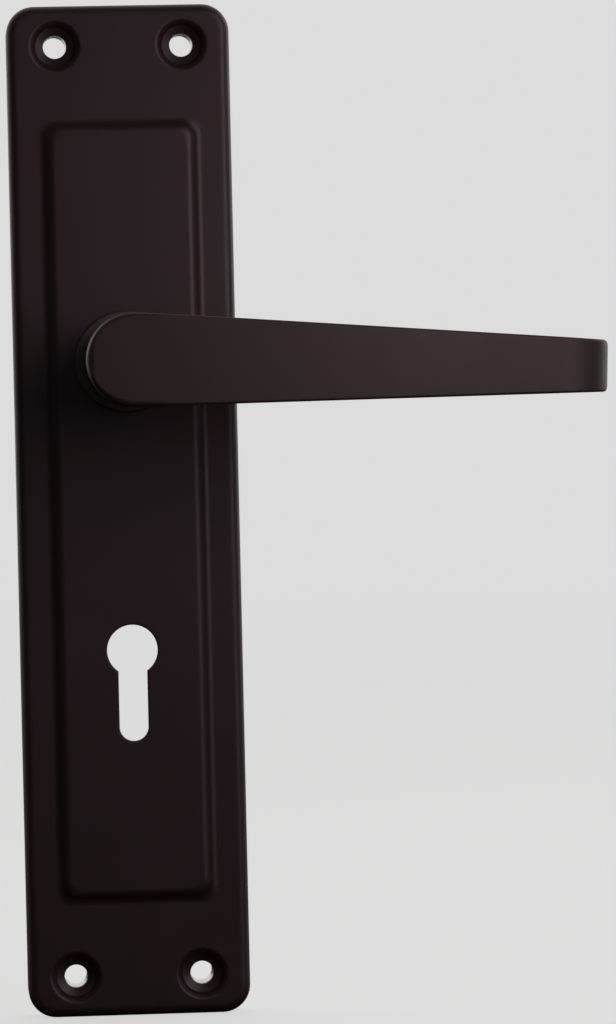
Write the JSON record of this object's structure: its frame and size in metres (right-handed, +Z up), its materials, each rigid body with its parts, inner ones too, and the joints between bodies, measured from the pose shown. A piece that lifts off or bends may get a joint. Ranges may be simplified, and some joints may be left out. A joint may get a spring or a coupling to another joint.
{
  "type": "door lever handle on cover plate",
  "caption": "Lever handle on a long pressed cover plate with a keyhole and dished screw holes; the sprung lever turns down on a round neck and carries a square spindle.",
  "frame": {"origin": "on the spindle axis, in the plane of the door's face that the cover plate's rim rests on", "axes": "+Z up along the plate, +X the way the lever points, +Y into the door, so the handle faces -Y"},
  "size_m": [0.1131, 0.096, 0.2],
  "materials": {
    "painted_steel": "satin dark brown-black paint on pressed steel",
    "painted_cast": "satin dark brown-black paint on a smooth casting",
    "black_nylon": "matte moulded nylon",
    "zinc_steel": "bright zinc plate",
    "spring_steel": "oiled dark spring steel"
  },
  "bodies": {
    "plate_assembly": {"cover_plate": "painted_steel", "screw_sleeves": "zinc_steel", "weld_studs": "zinc_steel", "lock_washers": "spring_steel", "hex_nuts": "zinc_steel", "bearing_bush": "black_nylon", "housing_lid": "zinc_steel", "spring_housing": "zinc_steel", "stop_pins": "spring_steel", "rear_bush": "black_nylon", "return_spring": "spring_steel"},
    "lever_assembly": {"lever": "painted_cast", "thrust_washer": "black_nylon", "cam_plate": "spring_steel", "wave_washer": "spring_steel", "circlip": "spring_steel", "spindle": "zinc_steel", "grub_screw": "spring_steel"}
  },
  "joints": [
    {"name": "lever_turn", "type": "hinge", "parent": "plate_assembly", "child": "lever_assembly", "pos_m": [0, 0, 0], "axis": [0, 1, 0], "range_deg": [0, 42], "stiffness_Nm_per_rad": 0.4, "springref_deg": -51.57, "deforming": ["return_spring"]}
  ]
}
